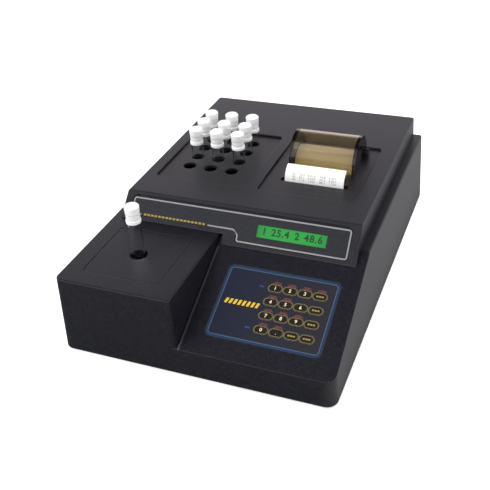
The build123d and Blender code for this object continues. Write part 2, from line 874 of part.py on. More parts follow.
def lcd_module():
    bezel = Box(
        display_width + 2 * display_margin_x, display_height + 2 * display_margin_y, display_frame,
        align=(Align.CENTER, Align.CENTER, Align.MAX),
    )
    glass = Box(
        display_width + 1.4, display_height + 1.4, fascia_wall - overlay_pocket - 0.05,
        align=(Align.CENTER, Align.CENTER, Align.MIN),
    )
    board = Pos(0, 0, -display_frame) * Box(
        display_board_width, display_board_height, board_thickness, align=(Align.CENTER, Align.CENTER, Align.MAX),
    )
    return fascia_plane * Pos(display_x, -display_down, -fascia_wall) * (bezel + glass + board)


def key_places():
    """Middle of each key in the deck's own plane, the top row first."""
    places = []
    for row in range(key_rows):
        for column in range(key_columns):
            places.append((first_key_x + column * key_pitch_x, first_key_up - row * key_pitch_y))
    return places


def keypad_overlay():
    plate = extrude(
        RectangleRounded(keypad_width, keypad_height, keypad_corner), amount=keypad_pocket + keypad_raise,
    )
    plate = deck_plane * Pos(keypad_x, keypad_up, -keypad_pocket) * plate
    for x, up in key_places():
        hole = extrude(
            SlotOverall(key_width + 2 * key_clearance, key_height + 2 * key_clearance), amount=4 * keypad_pocket, both=True,
        )
        plate -= deck_plane * Pos(x, up, 0) * hole
    return plate


def key(x, up):
    """One capsule-shaped key, standing a little proud of the keypad."""
    thickness = key_raise + keypad_pocket - key_travel - 0.2
    cap = extrude(SlotOverall(key_width, key_height), amount=thickness)
    cap = fillet(cap.edges().group_by(Axis.Z)[-1], 0.25)
    return deck_plane * Pos(x, up, key_raise - thickness) * cap


def printer_frame():
    side = paper_width / 2 + roll_side_gap
    low = tray_bottom_z - frame_depth
    front = slot_mid_y - slot_length / 2 - 4
    back = hood_y + roll_diameter / 2 + 3
    frame = None
    for inner in (-side - frame_sheet, side):
        cheek = block(paper_x + inner, paper_x + inner + frame_sheet, front, back, low, tray_bottom_z)
        cheek -= block(
            paper_x + inner - 1, paper_x + inner + frame_sheet + 1, back - 14, back + 1, low - 1, low + 10,
        )
        bore = platen_axle + 2 * shaft_clearance
        cheek -= rod(paper_x + inner - 1, platen_y, platen_z, bore, frame_sheet + 2, (1, 0, 0))
        frame = cheek if frame is None else frame + cheek
    frame += block(paper_x - side, paper_x + side, front, back - 14, low, low + frame_sheet)
    # Print head bar in front of the platen
    frame += block(paper_x - side, paper_x + side, front, paper_y - 0.4, platen_z - 7, platen_z + 5)
    # Stub spindles that carry the paper roll
    for start in (-side, side - 3):
        frame += rod(paper_x + start, hood_y, roll_z, roll_core - 2 * shaft_clearance - 1.0, 3, (1, 0, 0))
    return frame


def platen_roller():
    side = paper_width / 2 + roll_side_gap
    rubber = rod(paper_x - side + 0.4, platen_y, platen_z, platen_diameter, 2 * side - 0.8, (1, 0, 0))
    length = 2 * side + 2 * frame_sheet + 1
    return rubber + rod(paper_x - length / 2, platen_y, platen_z, platen_axle, length, (1, 0, 0))


def paper_roll():
    roll = rod(paper_x - paper_width / 2, hood_y, roll_z, roll_diameter, paper_width, (1, 0, 0))
    return roll - rod(paper_x - paper_width / 2 - 1, hood_y, roll_z, roll_core - 0.9, paper_width + 2, (1, 0, 0))


def paper_strip():
    """The strip's run up through the slot, ending in a curl that leans back."""
    start_z = platen_z - platen_diameter / 2
    curl = math.radians(paper_curl_angle)
    radius = paper_rise / math.sin(curl)
    half = paper_thickness / 2
    mid_y = paper_y + half
    bend_z = tray_z
    end = (mid_y + radius * (1 - math.cos(curl)), bend_z + paper_rise)
    middle = (mid_y + radius * (1 - math.cos(curl / 2)), bend_z + radius * math.sin(curl / 2))
    path = Line((mid_y, start_z), (mid_y, bend_z)) + ThreePointArc((mid_y, bend_z), middle, end)
    outer = offset(path, amount=half, side=Side.BOTH)
    strip = extrude(Plane.YZ * make_face(outer.edges()), amount=paper_width, dir=(1, 0, 0))
    return Pos(paper_x - paper_width / 2, 0, 0) * strip


def printer_hood():
    low = tray_z + hood_floor_gap
    body = rod(hood_left, hood_y, hood_z, 2 * hood_radius, hood_width, (1, 0, 0))
    body -= rod(
        hood_left + hood_cheek, hood_y, hood_z, 2 * (hood_radius - hood_wall), hood_width - 2 * hood_cheek, (1, 0, 0),
    )
    body -= block(
        hood_left - 1, hood_right + 1, hood_y - 2 * hood_radius, hood_y + 2 * hood_radius, low - 2 * hood_radius, low,
    )
    body -= block(hood_left - 1, hood_right + 1, pivot_y, pivot_y + hood_radius, low - 1, pivot_z)
    for x in (hood_left, hood_right - hood_cheek):
        body += rod(x, pivot_y, pivot_z, hood_ear_width - 0.2, hood_cheek, (1, 0, 0))
    for x, direction in ((hood_left, -1), (hood_right, 1)):
        body += rod(x, pivot_y, pivot_z, hood_pin, hood_ear + hood_side_gap, (direction, 0, 0))
    return body


def main_board():
    z = plate_top_z + board_standoff
    half_x = board_width / 2
    half_y = board_length / 2
    board = block(board_x - half_x, board_x + half_x, board_y - half_y, board_y + half_y, z, z + board_thickness)
    top = z + board_thickness
    for side_x in (-1, 1):
        for side_y in (-1, 1):
            x = board_x + side_x * (half_x - board_post_inset)
            y = board_y + side_y * (half_y - board_post_inset)
            board += rod(x, y, plate_top_z, board_post, board_standoff, (0, 0, 1))
    # Chips in two rows, smoothing capacitors and a connector strip
    for row in range(2):
        for column in range(4):
            x = board_x + (column - 1.5) * chip_pitch_x
            y = board_y - chips_back + (row - 0.5) * chip_pitch_y
            board += block(
                x - chip_width / 2, x + chip_width / 2, y - chip_length / 2, y + chip_length / 2,
                top, top + chip_height,
            )
    for column in range(3):
        x = board_x + (column - 1) * capacitor_pitch
        y = board_y + half_y - capacitors_back
        board += rod(x, y, top, capacitor_diameter, capacitor_height, (0, 0, 1))
    front = board_y - half_y + board_post_inset
    return board + block(
        board_x - connector_width / 2, board_x + connector_width / 2, front, front + connector_length,
        top, top + connector_length,
    )


def power_transformer():
    low = plate_top_z
    core = block(
        transformer_x - core_width / 2, transformer_x + core_width / 2,
        transformer_y - core_length / 2, transformer_y + core_length / 2, low, low + core_height,
    )
    winding = rounded_block(
        transformer_x - core_width / 2 + 9, transformer_x + core_width / 2 - 9,
        transformer_y - winding_length / 2, transformer_y + winding_length / 2, low + 8, low + core_height - 8, 3,
    )
    feet = block(
        transformer_x - core_width / 2 - transformer_foot, transformer_x + core_width / 2 + transformer_foot,
        transformer_y - 6, transformer_y + 6, low, low + 2,
    )
    return core + winding + feet


def power_inlet():
    """Power entry: flange, socket with three blades, and the frame of the rocker switch."""
    flange = Pos(0, 0, -inlet_pocket) * extrude(
        RectangleRounded(inlet_width, inlet_tall, 2), amount=inlet_flange,
    )
    body = Pos(0, 0, -inlet_pocket - inlet_depth) * extrude(
        Rectangle(inlet_width - 5, inlet_tall - 5), amount=inlet_depth,
    )
    entry = flange + body
    cavity = Pos(socket_offset, 0, -inlet_depth + 1) * extrude(
        Rectangle(socket_width, socket_tall), amount=inlet_depth + 2,
    )
    entry -= chamfer(cavity.edges().filter_by(Axis.Z).sort_by(Axis.Y)[-2:], 3.5)
    for x, y in ((-7, 1.5), (7, 1.5), (0, -2.5)):
        entry += Pos(socket_offset + x, y, -inlet_depth + 1) * Box(2, 4, 9, align=(Align.CENTER, Align.CENTER, Align.MIN))
    entry -= Pos(rocker_offset, 0, -inlet_depth + 1) * extrude(
        Rectangle(rocker_width + 1.0, rocker_tall + 1.2), amount=inlet_depth + 2,
    )
    entry -= Pos(rocker_offset - rocker_width / 2 - 2, 0, -2.5) * Rot(0, 90, 0) * Cylinder(
        1 + shaft_clearance, rocker_width + 4, align=(Align.CENTER, Align.CENTER, Align.MIN),
    )
    return rear_wall_plane * Pos(-inlet_x, 0, 0) * entry


def power_switch():
    """The rocker paddle, resting with its lower end pressed in."""
    half = rocker_tall / 2
    outline = make_face(
        Polyline(
            (-half, 1.6), (-1.5, 0.4), (1.5, 0.4), (half, 1.6), (half - 2.6, -5.0), (-half + 2.6, -5.0), close=True,
        )
    )
    paddle = extrude(Plane.YZ * outline, amount=rocker_width, dir=(1, 0, 0))
    paddle = Pos(-rocker_width / 2, 0, 0) * paddle
    paddle += Pos(-rocker_width / 2 - 1.5, 0, 0) * Rot(0, 90, 0) * Cylinder(
        1.0, rocker_width + 3, align=(Align.CENTER, Align.CENTER, Align.MIN),
    )
    return rear_wall_plane * Pos(-inlet_x + rocker_offset, 0, -2.5) * Rot(rocker_tilt, 0, 0) * paddle


save(base_shell(), "base_shell")
save(base_plate(), "base_plate")
save(rubber_feet(), "rubber_feet")
save(Compound(children=base_screws() + hinge_pins()), "screws_and_pins")
save(top_lid(), "top_lid")
save(incubator_tray(), "incubator_tray")
save(printer_tray(), "printer_tray")
save(fascia_overlay(), "fascia_overlay")
save(lcd_module(), "lcd_module")
save(keypad_overlay(), "keypad_overlay")
for number, (x, up) in enumerate(key_places(), start=1):
    save(key(x, up), f"key_{number:02d}")
save(incubator_block(), "incubator_block")
occupied = well_places()[well_columns:]
for number, (x, y) in enumerate(occupied, start=1):
    save(test_tube(x, y, incubator_rim), f"incubator_tube_{number}")
    save(plug_cap(x, y, incubator_rim), f"incubator_cap_{number}")
save(test_tube(photometer_x, front_y + photometer_y, photometer_rim), "photometer_tube")
save(plug_cap(photometer_x, front_y + photometer_y, photometer_rim), "photometer_cap")
save(photometer_cover(), "photometer_cover")
save(Compound(children=[cuvette_block(), lamp_house()]), "photometer_blocks")
save(filter_wheel(), "filter_wheel")
save(filter_motor(), "filter_motor")
save(printer_frame(), "printer_frame")
save(platen_roller(), "platen_roller")
save(paper_roll(), "paper_roll")
save(paper_strip(), "paper_strip")
save(printer_hood(), "printer_hood")
save(main_board(), "main_board")
save(power_transformer(), "power_transformer")
save(power_inlet(), "power_inlet")
save(power_switch(), "power_switch")
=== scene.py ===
# %% [markdown]
# A bench analyzer, dressed for its portrait. The real one is a dark moulded case with a key deck, a tilt-back
# cover with a green display, a rack of capped glass tubes and a strip printer under a smoked hood.
# The solids come ready-made and already in place. This lesson gives each one its finish, and adds what is
# printed on it: thin inks, numbers and lines that a solid model leaves off.

# %% Load the model
import math

import bmesh
import bpy
from mathutils import Euler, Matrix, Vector


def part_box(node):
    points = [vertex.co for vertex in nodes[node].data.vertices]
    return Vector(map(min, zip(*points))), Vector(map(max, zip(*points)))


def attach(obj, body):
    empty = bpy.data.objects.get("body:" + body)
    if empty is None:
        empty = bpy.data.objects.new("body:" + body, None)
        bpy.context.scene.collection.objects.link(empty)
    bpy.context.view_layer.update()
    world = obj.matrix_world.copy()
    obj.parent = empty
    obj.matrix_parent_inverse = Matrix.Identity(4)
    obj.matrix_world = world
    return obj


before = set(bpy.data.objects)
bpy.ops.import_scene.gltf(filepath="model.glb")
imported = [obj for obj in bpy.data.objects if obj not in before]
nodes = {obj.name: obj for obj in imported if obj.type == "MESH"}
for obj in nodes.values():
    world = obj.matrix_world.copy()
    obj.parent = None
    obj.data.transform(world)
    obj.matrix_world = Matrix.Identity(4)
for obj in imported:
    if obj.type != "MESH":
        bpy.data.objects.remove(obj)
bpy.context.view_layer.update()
MM = 0.001

# %% [markdown]
# Shader sums read best as sums. A Value stands for one output of a node, and the usual signs between two of
# them, or between one and a number, add a Math node. The mirrored forms let 1 - mask work too.


# %% Sums with shader values
class Value:
    """One output of a shader node, ready to take part in a sum."""

    def __init__(self, finish, socket):
        self.finish = finish
        self.socket = socket

    def math(self, operation, first, second=0.0):
        return self.finish.add("ShaderNodeMath", {"operation": operation}, {0: first, 1: second})

    def __add__(self, other):
        return self.math("ADD", self, other)

    def __radd__(self, other):
        return self.math("ADD", other, self)

    def __sub__(self, other):
        return self.math("SUBTRACT", self, other)

    def __rsub__(self, other):
        return self.math("SUBTRACT", other, self)

    def __mul__(self, other):
        return self.math("MULTIPLY", self, other)

    def __rmul__(self, other):
        return self.math("MULTIPLY", other, self)

    def __truediv__(self, other):
        return self.math("DIVIDE", self, other)

    def __gt__(self, other):
        return self.math("GREATER_THAN", self, other)

    def __lt__(self, other):
        return self.math("LESS_THAN", self, other)

    def __abs__(self):
        return self.math("ABSOLUTE", self)

    def power(self, exponent):
        return self.math("POWER", self, exponent)

    def ripple(self, pitch):
        """A wave along this value, with one crest for each pitch in millimetres."""
        return self.math("SINE", self * (2 * math.pi / (pitch * MM)))


# %% [markdown]
# A Finish is one material. It starts from Blender's all-round surface shader, and one method adds any other
# node. Its patterns hang on the object's own coordinates, so they stay on the plastic when it moves.


# %% Materials as expressions
FLAT_LIKENESS, EDGE_LIKENESS = 0.995, 0.86


class Finish:
    """A material that is built from values in the object's own coordinates."""

    def __init__(self, name, sockets):
        self.material = bpy.data.materials.new(name)
        self.material.use_nodes = True
        self.start(self.material.node_tree, "Principled BSDF", "Object")
        self.wear(sockets)

    def start(self, tree, shader, coordinates):
        self.tree = tree
        self.shader = tree.nodes[shader]
        self.place = self.add("ShaderNodeTexCoord", {}, {}, coordinates)

    def add(self, kind, settings, sockets, output=0):
        node = self.tree.nodes.new(kind)
        for name, value in settings.items():
            setattr(node, name, value)
        for key, value in sockets.items():
            self.feed(node.inputs[key], value)
        return Value(self, node.outputs[output])

    def feed(self, socket, value):
        if isinstance(value, Value):
            self.tree.links.new(value.socket, socket)
        else:
            socket.default_value = value

    def wear(self, sockets):
        for name, value in sockets.items():
            self.feed(self.shader.inputs[name], value)

    def axes(self):
        split = self.add("ShaderNodeSeparateXYZ", {}, {0: self.place}).socket.node
        return [Value(self, output) for output in split.outputs]

    def cloud(self, scale, detail=2.0, stretch=(1.0, 1.0, 1.0)):
        place = self.add("ShaderNodeVectorMath", {"operation": "MULTIPLY"}, {0: self.place, 1: stretch})
        return self.add("ShaderNodeTexNoise", {}, {"Vector": place, "Scale": scale, "Detail": detail})

    def over(self, mask, under, top):
        return self.add("ShaderNodeMix", {"data_type": "RGBA"}, {0: mask, 6: under, 7: top}, 2)

    def ramp(self, value, start, end, low=0.0, high=1.0):
        limits = {"From Min": start, "From Max": end, "To Min": low, "To Max": high}
        return self.add("ShaderNodeMapRange", {}, {"Value": value, **limits})

    def likeness(self, one, other):
        return self.add("ShaderNodeVectorMath", {"operation": "DOT_PRODUCT"}, {0: one, 1: other}, "Value")

    def rays(self, *kinds):
        return [self.add("ShaderNodeLightPath", {}, {}, f"Is {kind} Ray") for kind in kinds]

    def soft_edges(self, radius):
        return self.add("ShaderNodeBevel", {"samples": 6}, {"Radius": radius * MM})

    # This edge mask places the painted highlight along edges.
    def edge_highlight_mask(self, radius):
        plain = self.add("ShaderNodeNewGeometry", {}, {}, "Normal")
        return self.ramp(self.likeness(self.soft_edges(radius), plain), FLAT_LIKENESS, EDGE_LIKENESS)

    def dents(self, height, depth, strength=1.0, under=None):
        sockets = {"Height": height, "Distance": depth * MM, "Strength": strength}
        if under is not None:
            sockets["Normal"] = under
        return self.add("ShaderNodeBump", {}, sockets)


def paint(red, green, blue):
    """A colour as a picture editor gives it, from 0 to 255, turned into light."""
    light = [(v / 255 / 12.92) if v <= 10 else ((v / 255 + 0.055) / 1.055) ** 2.4 for v in (red, green, blue)]
    return (*light, 1.0)


def dress(finish, *names):
    for name in names:
        slots = nodes[name].data.materials
        slots.clear()
        slots.append(finish.material)


# %% [markdown]
# The case is dark moulded plastic with a satin skin. It is nearly black, and what the eye sees of it is
# mostly the room: bright on the top and sides, dark on the front. So the colour stays very low, and the work
# goes into the gloss, which changes a little from place to place, and into the fine grain of the mould. No
# moulded edge is sharp: the Bevel node rounds the shading at each edge. Where its direction leaves the face's
# own, the surface is at an edge, and there the colour is painted a little lighter: a painted highlight.


# %% Moulded plastic
MOTTLE_SCALE, GRAIN_SCALE = 480, 850
EDGE_HIGHLIGHT_RADIUS, EDGE_RADIUS = 1.2, 0.7


def moulded(name, dark, light, gloss, lighter_edge=None):
    finish = Finish(name, {"IOR": 1.5})
    mottle = finish.cloud(MOTTLE_SCALE, 4)
    grain = finish.cloud(GRAIN_SCALE, 3)
    finish.colour = finish.over(finish.ramp(mottle, 0.38, 0.62), dark, light)
    # A lighter colour on the edges: a painted highlight.
    if lighter_edge is not None:
        finish.colour = finish.over(finish.edge_highlight_mask(EDGE_HIGHLIGHT_RADIUS), finish.colour, lighter_edge)
    finish.wear({
        "Base Color": finish.colour,
        "Roughness": gloss + 0.06 * mottle + 0.05 * grain,
        "Normal": finish.dents(0.5 * mottle + 0.5 * grain, 0.25, 0.5, finish.soft_edges(EDGE_RADIUS)),
    })
    return finish


# The edge colour is a painted highlight.
EDGE_HIGHLIGHT = paint(48, 48, 54)
case_plastic = moulded("case plastic", paint(17, 18, 25), paint(27, 28, 36), 0.36, EDGE_HIGHLIGHT)
tray_plastic = moulded("tray plastic", paint(20, 20, 25), paint(29, 28, 33), 0.36, EDGE_HIGHLIGHT)
black_plastic = moulded("black plastic", paint(14, 14, 15), paint(20, 20, 21), 0.38)
dress(case_plastic, "base_shell", "top_lid", "photometer_cover")
dress(tray_plastic, "incubator_tray", "printer_tray")
dress(black_plastic, "printer_frame", "power_switch")
print("plastics:", case_plastic.material.name, tray_plastic.material.name, black_plastic.material.name)

# %% [markdown]
# One edge gets a lighter line than the rest: the deck's left one, beside the groove at the foot of the tower.
# It leans with the tower's wall, so the line is a mask on a leaning coordinate, and fades out over two
# millimetres.

# %% Lighter line beside the tower
WALL_DRAFT = math.radians(2.5)
GROOVE_EDGE = -9.6
DECK_FRONT_Z, DECK_BACK_Y = 27.3, -79.0
FOOT_GAP = 2.0
LINE_FULL, LINE_GONE = 0.5, 2.1
# A lighter colour for the line along the deck's left edge.
LIGHTER_LINE_COLOUR = paint(72, 72, 80)
across, back, rise = case_plastic.axes()
upright = across + (rise - FOOT_GAP * MM) * math.tan(WALL_DRAFT)
on_deck = (rise > DECK_FRONT_Z * MM) * (back < DECK_BACK_Y * MM) * (upright > (GROOVE_EDGE - 0.1) * MM)
line = case_plastic.ramp(upright, (GROOVE_EDGE + LINE_GONE) * MM, (GROOVE_EDGE + LINE_FULL) * MM) * on_deck
case_plastic.wear({"Base Color": case_plastic.over(line, case_plastic.colour, LIGHTER_LINE_COLOUR)})
print("rubbed line starts at x", GROOVE_EDGE, "mm")

# %% [markdown]
# Films and keys. A printed film is smoother than the case and a little blue. The keypad's film shades from
# navy on the left to charcoal on the right, which a colour mix along the X axis gives.


# %% Films, keys and inks
def ink(name, colour, gloss=0.45):
    finish = Finish(name, {"Roughness": gloss})
    speckle = finish.cloud(2500, 1)
    faded = tuple(0.78 * c for c in colour[:3]) + (1.0,)
    finish.wear({"Base Color": finish.over(speckle, colour, faded)})
    return finish


overlay_film = moulded("overlay film", paint(22, 25, 30), paint(30, 33, 39), 0.36)
keypad_film = moulded("keypad film", paint(26, 31, 48), paint(38, 39, 44), 0.36)
keypad_low, keypad_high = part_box("keypad_overlay")
along = (keypad_film.axes()[0] - keypad_low.x) / (keypad_high.x - keypad_low.x)
keypad_film.wear({"Base Color": keypad_film.over(along, paint(26, 32, 52), paint(40, 40, 45))})
key_film = moulded("key film", paint(26, 22, 18), paint(34, 30, 24), 0.4)
key_names = sorted(name for name in nodes if name.startswith("key_"))
dress(overlay_film, "fascia_overlay")
dress(keypad_film, "keypad_overlay")
dress(key_film, *key_names)
silver_ink = ink("silver ink", paint(150, 151, 152))
gold_ink = ink("gold ink", paint(158, 138, 62))
outline_ink = ink("key outline ink", paint(126, 116, 76))
cream_ink = ink("cream ink", paint(240, 226, 184))
olive_ink = ink("olive ink", paint(160, 142, 70))
red_ink = ink("red ink", paint(118, 60, 58))
blue_ink = ink("blue ink", paint(34, 54, 82))
light_blue_ink = ink("light blue ink", paint(66, 92, 122))
label_ink = ink("label ink", paint(52, 66, 120))
yellow_ink = ink("yellow ink", paint(228, 188, 40))
print("keys:", len(key_names))

# %% [markdown]
# Clear glass lets nearly all light through, so its own colour is near white. The printer's hood is smoked,
# and its tint carries painted shade as well: it is painted darker from the foot up to the crown, and its two
# cheeks are painted nearly black as shade.

# %% Glass and hood
CLEAR = (0.985, 0.99, 0.99, 1.0)
tube_glass = Finish("tube glass", {"Transmission Weight": 1.0, "IOR": 1.4, "Base Color": CLEAR})
smears = tube_glass.cloud(300, 2)
tube_glass.wear({"Roughness": 0.015 * smears})
tube_names = sorted(name for name in nodes if "_tube" in name)
dress(tube_glass, *tube_names)

hood_low, hood_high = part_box("printer_hood")
hood_smoke = Finish("smoked hood", {"Transmission Weight": 1.0, "IOR": 1.49})
haze = hood_smoke.cloud(60, 2)
CHEEK = 6.2
# Painted shade in the smoke: the crown's tint is darker than the foot's, and the cheeks' is nearly black.
SMOKE_FOOT, SHADED_CROWN_TINT = (0.95, 0.85, 0.56, 1.0), (0.50, 0.44, 0.30, 1.0)
SHADED_CHEEK_TINT = (0.03, 0.022, 0.015, 1.0)
across, _, rise = hood_smoke.axes()
on_cheek = abs(across - (hood_low.x + hood_high.x) / 2) > (hood_high.x - hood_low.x) / 2 - CHEEK * MM
crown_shade = hood_smoke.ramp(rise, hood_low.z, hood_high.z)
smoke_and_painted_shade = hood_smoke.over(crown_shade, SMOKE_FOOT, SHADED_CROWN_TINT)
hood_smoke.wear({
    "Base Color": hood_smoke.over(on_cheek, smoke_and_painted_shade, SHADED_CHEEK_TINT),
    "Roughness": 0.07 + 0.05 * haze,
})
dress(hood_smoke, "printer_hood")
print("tubes:", len(tube_names))

# %% [markdown]
# A cap has a groove over its skirt and a step over half way up, too slight for a solid: a Bump node turns
# such a height into shading. The groove is also painted darker in the colour, as painted shade. The caps
# share one material, because they all stand within half a millimetre of the same height.

# %% Caps
cap_low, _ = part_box("incubator_cap_1")
GROOVE_UP, GROOVE_HALF = 4.6, 0.5
STEP_UP, STEP_HALF = 9.4, 0.4
cap_white = Finish("cap plastic", {"IOR": 1.45})
milk = cap_white.cloud(160, 2)
rise = cap_white.axes()[2] - cap_low.z
groove_and_shade = cap_white.ramp(abs(rise - GROOVE_UP * MM), GROOVE_HALF * MM, 0)
step = cap_white.ramp(rise, (STEP_UP - STEP_HALF) * MM, (STEP_UP + STEP_HALF) * MM)
cap_colour = cap_white.over(milk, paint(252, 252, 252), paint(244, 243, 243))
# The groove's darker colour is painted shade.
cap_white.wear({
    "Base Color": cap_white.over(groove_and_shade * 0.5, cap_colour, paint(196, 194, 192)),
    "Roughness": 0.35 + 0.1 * milk,
    "Normal": cap_white.dents(step - 0.6 * groove_and_shade, 0.5, 0.7, cap_white.soft_edges(0.5)),
})
cap_names = sorted(name for name in nodes if "_cap" in name)
dress(cap_white, *cap_names)
print("caps:", len(cap_names))

# %% [markdown]
# The roll under the hood is plain paper, and its ends show the turns as fine rings. The strip is the same
# paper in full light, so it is whiter, with a faint grain of fibres.

# %% Paper
TURN_PITCH = 0.5
roll_low, roll_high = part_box("paper_roll")
roll_paper = Finish("roll paper", {"IOR": 1.4})
_, back, rise = roll_paper.axes()
back = back - (roll_low.y + roll_high.y) / 2
rise = rise - (roll_low.z + roll_high.z) / 2
turns = (back * back + rise * rise).power(0.5).ripple(TURN_PITCH)
fibre = roll_paper.cloud(900, 3)
roll_paper.wear({
    "Base Color": roll_paper.over(0.5 + 0.5 * turns, paint(240, 236, 226), paint(205, 198, 184)),
    "Roughness": 0.6 + 0.15 * fibre,
})
dress(roll_paper, "paper_roll")

strip_paper = Finish("strip paper", {"IOR": 1.4})
fibre = strip_paper.cloud(900, 3)
strip_paper.wear({
    "Base Color": strip_paper.over(fibre, paint(252, 252, 251), paint(244, 244, 242)),
    "Roughness": 0.5 + 0.15 * fibre,
    "Normal": strip_paper.dents(fibre, 0.02, 0.3),
})
dress(strip_paper, "paper_strip")
print("paper:", roll_paper.material.name, strip_paper.material.name)

# %% [markdown]
# Metals and rubber. Turned and sawn metal carries fine lines along the tool's path: a noise stretched along
# one axis gives them, both in the gloss and in the surface. Rubber is dull, with a dusty bloom.


# %% Metals and rubber
def metal(name, colour, gloss, stretch=(1.0, 1.0, 1.0)):
    finish = Finish(name, {"Metallic": 1.0})
    lines = finish.cloud(400, 2, stretch)
    finish.wear({
        "Base Color": finish.over(lines, colour, tuple(0.85 * c for c in colour[:3]) + (1.0,)),
        "Roughness": gloss + 0.15 * lines,
        "Normal": finish.dents(lines, 0.03, 0.4),
    })
    return finish


def rubber(name, colour):
    finish = Finish(name, {})
    bloom = finish.cloud(120, 4)
    finish.wear({
        "Base Color": finish.over(bloom, colour, tuple(1.6 * c for c in colour[:3]) + (1.0,)),
        "Roughness": 0.75 + 0.15 * bloom,
        "Normal": finish.dents(finish.cloud(1800, 2), 0.05, 0.4),
    })
    return finish


steel = metal("zinc steel", paint(196, 197, 199), 0.22)
sawn_aluminium = metal("sawn aluminium", paint(205, 207, 210), 0.28, (1.0, 14.0, 14.0))
# The incubator block is black aluminium, painted darker still: its near-black paints the shade down the
# wells.
black_with_well_shade = metal("black aluminium with painted well shade", paint(12, 12, 13), 0.5, (1.0, 14.0, 14.0))
black_anodised = metal("black anodised", paint(52, 52, 56), 0.3, (8.0, 1.0, 8.0))
motor_can = metal("motor can", paint(150, 150, 152), 0.3, (6.0, 1.0, 6.0))
foot_rubber = rubber("foot rubber", paint(26, 26, 26))
dress(steel, "screws_and_pins")
dress(sawn_aluminium, "photometer_blocks")
dress(black_with_well_shade, "incubator_block")
dress(black_anodised, "filter_wheel")
dress(motor_can, "filter_motor")
dress(foot_rubber, "rubber_feet")

plate_paint = moulded("plate paint", paint(48, 48, 50), paint(58, 58, 60), 0.5)
dress(plate_paint, "base_plate")

RUBBER_HALF = 29.1
roller_low, roller_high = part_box("platen_roller")
roller = rubber("platen rubber", paint(30, 30, 32))
middle = (roller_low.x + roller_high.x) / 2
on_axle = abs(roller.axes()[0] - middle) > RUBBER_HALF * MM
roller.wear({"Metallic": on_axle, "Roughness": 0.8 - 0.5 * on_axle})
roller.wear({"Base Color": roller.over(on_axle, paint(30, 30, 32), paint(190, 190, 192))})
dress(roller, "platen_roller")
print("metals:", steel.material.name, sawn_aluminium.material.name, motor_can.material.name)

# %% [markdown]
# The board sits inside, and shows when the cover tilts back. It is one solid, so its colours come from
# where a point lies: above the board's face it is a part, and the tallest ones are capacitors with a bright
# top.

# %% Circuit board
BOARD_FACE_UP = 9.65
TALL_PARTS_UP = 9.0
BRIGHT_TOP = 0.3
FINE_TRACKS, WIDE_TRACKS = 3.2, 5.1
board_low, board_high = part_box("main_board")
board_face = board_low.z + BOARD_FACE_UP * MM
circuit = Finish("circuit board", {"IOR": 1.5})
across, back, rise = circuit.axes()
tracks = (across + back).ripple(FINE_TRACKS) * (across - back).ripple(WIDE_TRACKS)
on_track = tracks > 0.25
on_part = rise > board_face
on_tall = rise > board_face + TALL_PARTS_UP * MM
on_top = rise > board_high.z - BRIGHT_TOP * MM
green = circuit.over(on_track, paint(22, 92, 52), paint(34, 122, 70))
parts = circuit.over(on_part, green, paint(30, 30, 32))
sleeves = circuit.over(on_tall, parts, paint(28, 44, 92))
circuit.wear({
    "Base Color": circuit.over(on_top, sleeves, paint(200, 202, 205)),
    "Roughness": 0.35 + 0.15 * on_part,
    "Normal": circuit.dents(tracks, 0.03, 0.5),
})
dress(circuit, "main_board")
print("board face at", round(board_face / MM, 2), "mm")

# %% [markdown]
# The transformer is one solid too. Its middle is a stack of thin steel sheets, and what sticks out before and
# behind the stack is the winding under yellow tape.

# %% Transformer
STACK_HALF = 15.1
SHEET_PITCH = 1.1
core_low, core_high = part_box("power_transformer")
transformer = Finish("transformer", {})
across, back, rise = transformer.axes()
on_winding = abs(back - (core_low.y + core_high.y) / 2) > STACK_HALF * MM
sheets = across.ripple(SHEET_PITCH)
transformer.wear({
    "Base Color": transformer.over(on_winding, paint(88, 86, 84), paint(205, 160, 52)),
    "Metallic": 0.7 * (1 - on_winding),
    "Roughness": 0.5 - 0.1 * on_winding,
    "Normal": transformer.dents(sheets * (1 - on_winding), 0.12, 0.6),
})
dress(transformer, "power_transformer")
print("transformer:", round((core_high.x - core_low.x) / MM, 1), "mm wide")

# %% [markdown]
# The inlet's three blades are metal and the rest of it is plastic. A blade is where a point lies inside one
# of three small boxes, and deep enough in the socket.

# %% Power inlet
SOCKET_ACROSS = 36.5
BLADES = ((-7, 1.9), (7, 1.9), (0, -2.1))
BLADE_HALF_WIDE, BLADE_HALF_TALL = 1.06, 2.3
BLADE_DEPTH = 2.6
inlet_low, inlet_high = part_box("power_inlet")
inlet = moulded("inlet plastic", paint(16, 16, 17), paint(22, 22, 23), 0.35)
across, back, rise = inlet.axes()
socket_x = inlet_low.x + SOCKET_ACROSS * MM
mid_z = (inlet_low.z + inlet_high.z) / 2
blades = None
for side, up in BLADES:
    in_width = abs(across - (socket_x + side * MM)) < BLADE_HALF_WIDE * MM
    in_height = abs(rise - (mid_z + up * MM)) < BLADE_HALF_TALL * MM
    near = in_width * in_height
    blades = near if blades is None else blades + near
blades = blades * (back < inlet_high.y - BLADE_DEPTH * MM)
inlet.wear({
    "Base Color": inlet.over(blades, paint(20, 20, 21), paint(205, 198, 176)),
    "Metallic": blades,
})
dress(inlet, "power_inlet")
print("inlet blades:", len(BLADES))

# %% [markdown]
# What is printed on the case is modelled as very thin solids. A Piece gathers such solids and becomes one
# object. It works on a Face: a flat side of the case with its own zero and two directions in millimetres, so
# a drawing of the print goes straight on.


# %% Flat sides to draw on
class Face:
    """A flat side: across it and up it in millimetres, and a lift off it."""

    def __init__(self, zero, slope, across=1):
        self.zero = zero
        self.across = Vector((across, 0, 0))
        self.up = Vector((0, across * math.cos(slope), across * math.sin(slope)))
        self.out = self.across.cross(self.up)

    def at(self, across, up, lift):
        return self.zero + (self.across * across + self.up * up + self.out * lift) * MM


